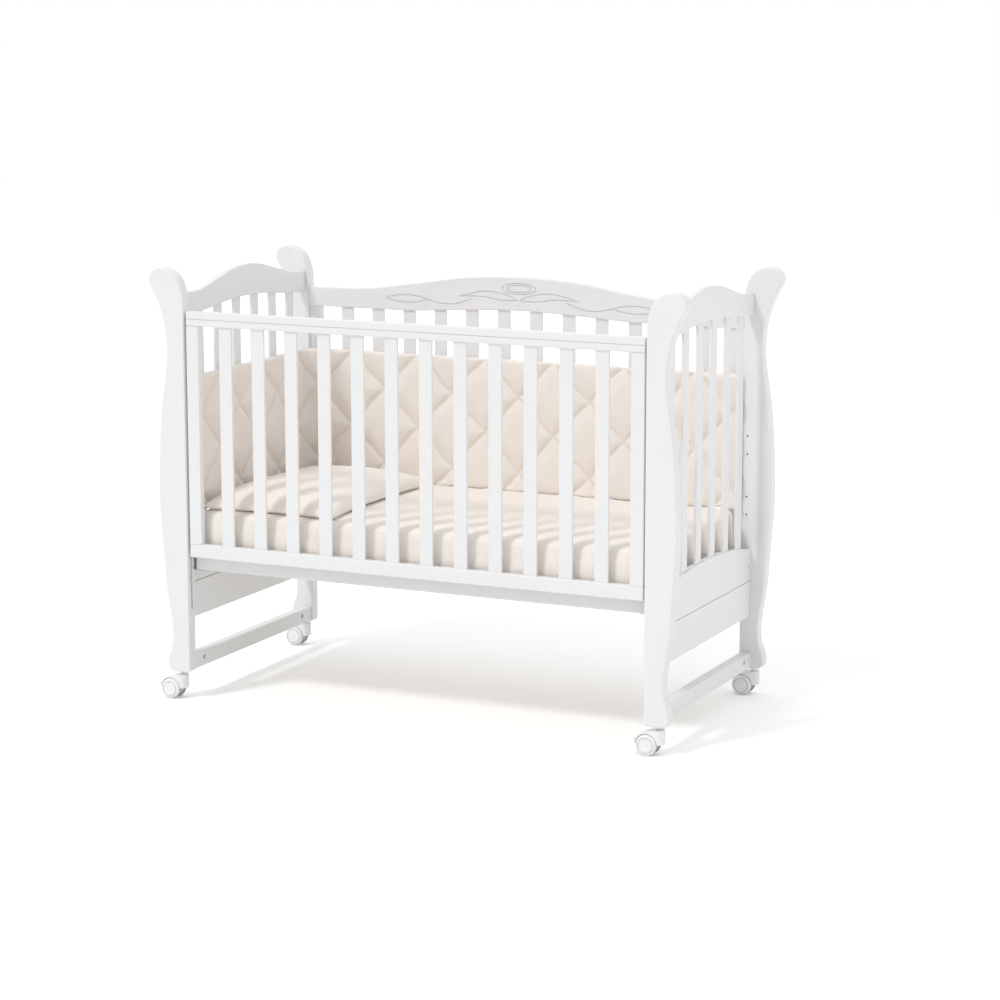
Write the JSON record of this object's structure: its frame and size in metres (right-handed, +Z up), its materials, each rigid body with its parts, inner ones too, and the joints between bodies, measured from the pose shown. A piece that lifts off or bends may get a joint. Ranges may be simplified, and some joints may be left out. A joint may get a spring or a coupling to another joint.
{
  "type": "crib",
  "caption": "White crib with a sliding drop side, slatted ends and back with arched rails, sabre posts, braked twin-wheel casters and bedding",
  "frame": {"origin": "on the floor, in the middle of the crib's footprint", "axes": "X along the bed's length, Y from the drop side to the back panel, Z up"},
  "size_m": [1.39, 0.6718, 1.0635],
  "materials": {
    "white_paint": "satin white paint",
    "bare_wood": "bare pale hardwood",
    "bright_steel": "bright plated steel",
    "zinc_steel": "zinc plated",
    "white_plastic": "white nylon",
    "grey_tread": "dark grey tread",
    "sheet_cotton": "pale cotton sheet",
    "pillow_cotton": "pale cotton pillowcase",
    "bumper_cotton": "cream quilted cotton"
  },
  "bodies": {
    "frame": {"post_front_left": "white_paint", "post_front_right": "white_paint", "post_rear_left": "white_paint", "post_rear_right": "white_paint", "end_top_rail_left": "white_paint", "end_top_rail_right": "white_paint", "end_slats_left": "white_paint", "end_slats_right": "white_paint", "end_upper_board_left": "white_paint", "end_upper_board_right": "white_paint", "end_lower_board_left": "white_paint", "end_lower_board_right": "white_paint", "end_stretcher_left": "white_paint", "end_stretcher_right": "white_paint", "back_top_rail": "white_paint", "back_slats": "white_paint", "back_bottom_rail": "white_paint", "base_front_rail": "white_paint", "base_back_rail": "white_paint", "base_cross_rails": "bare_wood", "base_slats": "bare_wood", "frame_dowels": "bare_wood", "base_brackets": "zinc_steel", "base_screws": "zinc_steel", "mattress": "sheet_cotton", "pillow": "pillow_cotton", "bumper_left": "bumper_cotton", "bumper_back": "bumper_cotton", "caster_front_left_stem": "bright_steel", "caster_rear_left_stem": "bright_steel", "caster_front_right_stem": "bright_steel", "caster_rear_right_stem": "bright_steel"},
    "drop_side": {"drop_top_rail": "white_paint", "drop_bottom_rail": "white_paint", "drop_stile_left": "white_paint", "drop_stile_right": "white_paint", "drop_slats": "white_paint", "drop_guide_pins": "bright_steel"},
    "swivel_front_left": {"caster_front_left_hood": "white_plastic", "caster_front_left_axle": "bright_steel", "caster_front_left_lever_pin": "bright_steel"},
    "wheels_front_left": {"caster_front_left_wheels": "white_plastic", "caster_front_left_tyres": "grey_tread"},
    "brake_front_left": {"caster_front_left_brake_lever": "white_plastic"},
    "swivel_rear_left": {"caster_rear_left_hood": "white_plastic", "caster_rear_left_axle": "bright_steel"},
    "wheels_rear_left": {"caster_rear_left_wheels": "white_plastic", "caster_rear_left_tyres": "grey_tread"},
    "swivel_front_right": {"caster_front_right_hood": "white_plastic", "caster_front_right_axle": "bright_steel", "caster_front_right_lever_pin": "bright_steel"},
    "wheels_front_right": {"caster_front_right_wheels": "white_plastic", "caster_front_right_tyres": "grey_tread"},
    "brake_front_right": {"caster_front_right_brake_lever": "white_plastic"},
    "swivel_rear_right": {"caster_rear_right_hood": "white_plastic", "caster_rear_right_axle": "bright_steel"},
    "wheels_rear_right": {"caster_rear_right_wheels": "white_plastic", "caster_rear_right_tyres": "grey_tread"}
  },
  "joints": [
    {"name": "drop_side_slide", "type": "slide", "parent": "frame", "child": "drop_side", "axis": [0, 0, 1], "range_m": [-0.145, 0]},
    {"name": "swivel_front_left_joint", "type": "hinge", "parent": "frame", "child": "swivel_front_left", "pos_m": [-0.6317, -0.31275, 0.045], "axis": [0, 0, 1], "continuous": true},
    {"name": "wheels_front_left_joint", "type": "hinge", "parent": "swivel_front_left", "child": "wheels_front_left", "pos_m": [-0.6552, -0.31275, 0.0255], "axis": [0, 1, 0], "continuous": true},
    {"name": "brake_front_left_joint", "type": "hinge", "parent": "swivel_front_left", "child": "brake_front_left", "pos_m": [-0.6734, -0.31275, 0.0378], "axis": [0, -1, 0], "range_deg": [0, 8]},
    {"name": "swivel_rear_left_joint", "type": "hinge", "parent": "frame", "child": "swivel_rear_left", "pos_m": [-0.6317, 0.31275, 0.045], "axis": [0, 0, 1], "continuous": true},
    {"name": "wheels_rear_left_joint", "type": "hinge", "parent": "swivel_rear_left", "child": "wheels_rear_left", "pos_m": [-0.6552, 0.31275, 0.0255], "axis": [0, 1, 0], "continuous": true},
    {"name": "swivel_front_right_joint", "type": "hinge", "parent": "frame", "child": "swivel_front_right", "pos_m": [0.6317, -0.31275, 0.045], "axis": [0, 0, 1], "continuous": true},
    {"name": "wheels_front_right_joint", "type": "hinge", "parent": "swivel_front_right", "child": "wheels_front_right", "pos_m": [0.6082, -0.31275, 0.0255], "axis": [0, 1, 0], "continuous": true},
    {"name": "brake_front_right_joint", "type": "hinge", "parent": "swivel_front_right", "child": "brake_front_right", "pos_m": [0.59, -0.31275, 0.0378], "axis": [0, -1, 0], "range_deg": [0, 8]},
    {"name": "swivel_rear_right_joint", "type": "hinge", "parent": "frame", "child": "swivel_rear_right", "pos_m": [0.6317, 0.31275, 0.045], "axis": [0, 0, 1], "continuous": true},
    {"name": "wheels_rear_right_joint", "type": "hinge", "parent": "swivel_rear_right", "child": "wheels_rear_right", "pos_m": [0.6082, 0.31275, 0.0255], "axis": [0, 1, 0], "continuous": true}
  ]
}
